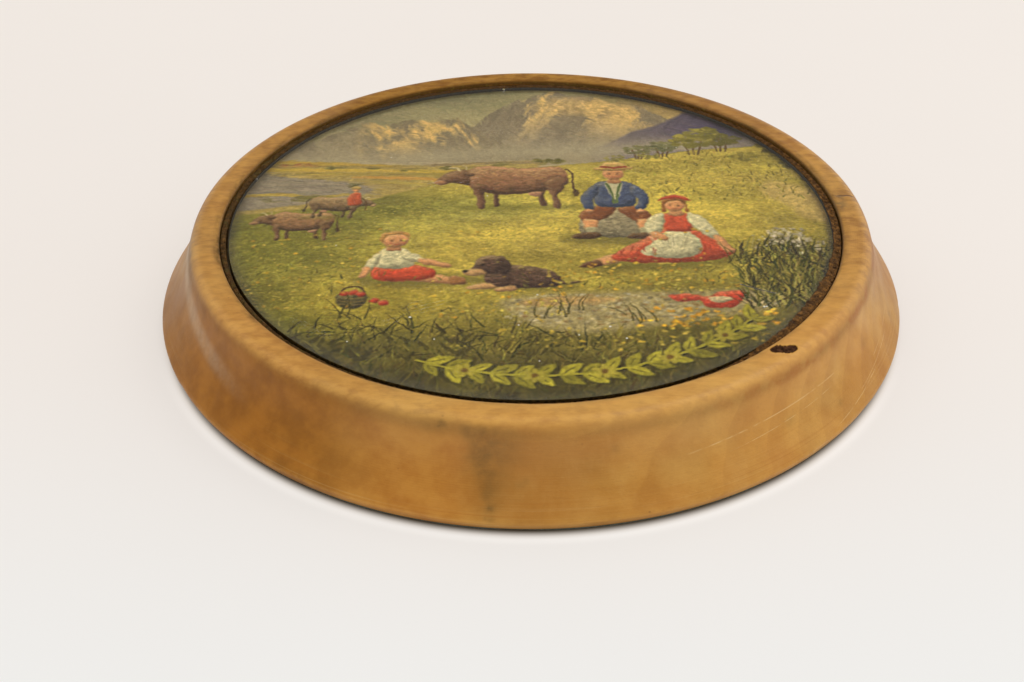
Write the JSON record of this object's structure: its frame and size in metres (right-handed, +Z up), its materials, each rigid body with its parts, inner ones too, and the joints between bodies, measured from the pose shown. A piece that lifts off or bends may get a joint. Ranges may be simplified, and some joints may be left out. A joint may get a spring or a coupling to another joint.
{
  "type": "counter coin tray",
  "caption": "Round turned wooden counter tray with a flared flank and a glass-covered printed picture in its shallow top recess; coins are laid on the glass.",
  "frame": {"origin": "on the tray's axis at the table, at the centre of the underside of the felt pad", "axes": "+Z up along the turning axis; +Y towards the top edge of the picture, away from the person it faces; +X to that person's right, along the wood's grain"},
  "size_m": [0.2, 0.2, 0.0252],
  "materials": {
    "frame_wood": "satin varnish, worn",
    "backing_card": "matt",
    "picture_paper": "printed, matt",
    "glass": "polished, lightly scratched",
    "putty": "crumbly, matt",
    "board_wood": "sawn, matt",
    "pin_steel": "bright drawn wire",
    "felt": "matt felt"
  },
  "bodies": {
    "root": {"turned_frame": "frame_wood", "backing_card": "backing_card", "printed_picture": "picture_paper", "glass_plate": "glass", "glazing_bead": "putty", "base_board": "board_wood", "base_pin_1": "pin_steel", "base_pin_2": "pin_steel", "base_pin_3": "pin_steel", "base_pin_4": "pin_steel", "base_pin_5": "pin_steel", "base_pin_6": "pin_steel", "base_pin_7": "pin_steel", "base_pin_8": "pin_steel", "felt_pad": "felt"}
  },
  "joints": []
}
